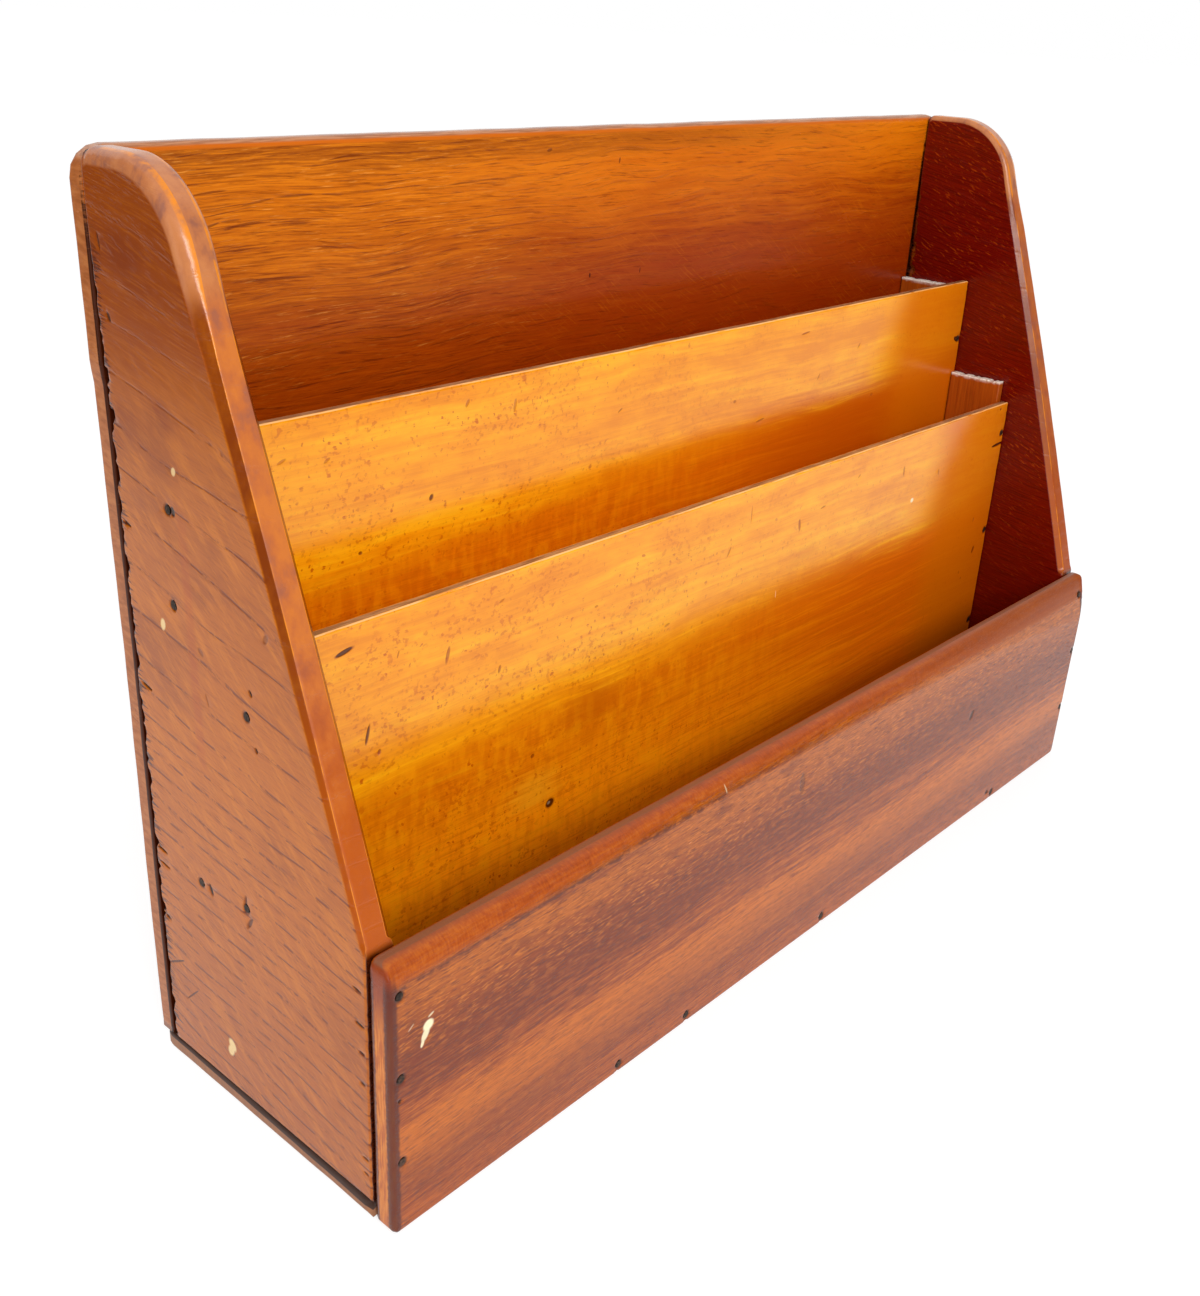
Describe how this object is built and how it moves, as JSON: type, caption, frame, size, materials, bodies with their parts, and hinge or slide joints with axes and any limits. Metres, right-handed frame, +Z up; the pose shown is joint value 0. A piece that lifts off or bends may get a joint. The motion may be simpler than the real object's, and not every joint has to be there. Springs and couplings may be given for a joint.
{
  "type": "letter rack",
  "caption": "Open-topped wooden letter rack: low front board, stepped thin dividers and a tall back between sloping, round-cornered sides, nailed together over a thin base.",
  "frame": {"origin": "centre of the overall box in plan, on the surface that the rack stands on", "axes": "+X along the rack to its right-hand side as seen from the front, +Y from the low front board to the tall back board, +Z up"},
  "size_m": [0.33, 0.093, 0.222],
  "materials": {
    "front_wood": "ribbon-figured red-brown wood, old worn polish",
    "side_wood": "oak with fine pores, old worn polish, rubbed edges",
    "back_wood": "oak with streaks and flecks, warm orange polish",
    "base_wood": "thin plain board, dull polish on its edges",
    "divider_wood": "fine-grained honey-coloured wood, satin polish",
    "strip_wood": "thin brown wood, raw pale top ends",
    "pin_iron": "dull, darkened with age"
  },
  "bodies": {
    "root": {"front_board": "front_wood", "side_left": "side_wood", "side_right": "side_wood", "back_board": "back_wood", "base_board": "base_wood", "divider_front": "divider_wood", "divider_rear": "divider_wood", "strip_front_left": "strip_wood", "strip_front_right": "strip_wood", "strip_rear_left": "strip_wood", "strip_rear_right": "strip_wood", "pin_front_left_1": "pin_iron", "pin_front_left_2": "pin_iron", "pin_front_left_3": "pin_iron", "pin_front_right_1": "pin_iron", "pin_front_right_2": "pin_iron", "pin_front_right_3": "pin_iron", "pin_front_base_1": "pin_iron", "pin_front_base_2": "pin_iron", "pin_front_base_3": "pin_iron", "pin_front_base_4": "pin_iron", "pin_back_left_1": "pin_iron", "pin_back_left_2": "pin_iron", "pin_back_left_3": "pin_iron", "pin_back_left_4": "pin_iron", "pin_back_right_1": "pin_iron", "pin_back_right_2": "pin_iron", "pin_back_right_3": "pin_iron", "pin_back_right_4": "pin_iron", "pin_base_left_1": "pin_iron", "pin_base_left_2": "pin_iron", "pin_base_right_1": "pin_iron", "pin_base_right_2": "pin_iron", "pin_base_back_1": "pin_iron", "pin_base_back_2": "pin_iron", "pin_base_back_3": "pin_iron", "pin_divider_front_left_1": "pin_iron", "pin_divider_front_left_2": "pin_iron", "pin_divider_front_left_3": "pin_iron", "pin_divider_front_right_1": "pin_iron", "pin_divider_front_right_2": "pin_iron", "pin_divider_front_right_3": "pin_iron", "pin_divider_rear_left_1": "pin_iron", "pin_divider_rear_left_2": "pin_iron", "pin_divider_rear_left_3": "pin_iron", "pin_divider_rear_right_1": "pin_iron", "pin_divider_rear_right_2": "pin_iron", "pin_divider_rear_right_3": "pin_iron", "pin_strip_front_left_1": "pin_iron", "pin_strip_front_left_2": "pin_iron", "pin_strip_front_right_1": "pin_iron", "pin_strip_front_right_2": "pin_iron", "pin_strip_rear_left_1": "pin_iron", "pin_strip_rear_left_2": "pin_iron", "pin_strip_rear_left_3": "pin_iron", "pin_strip_rear_right_1": "pin_iron", "pin_strip_rear_right_2": "pin_iron", "pin_strip_rear_right_3": "pin_iron"}
  },
  "joints": []
}
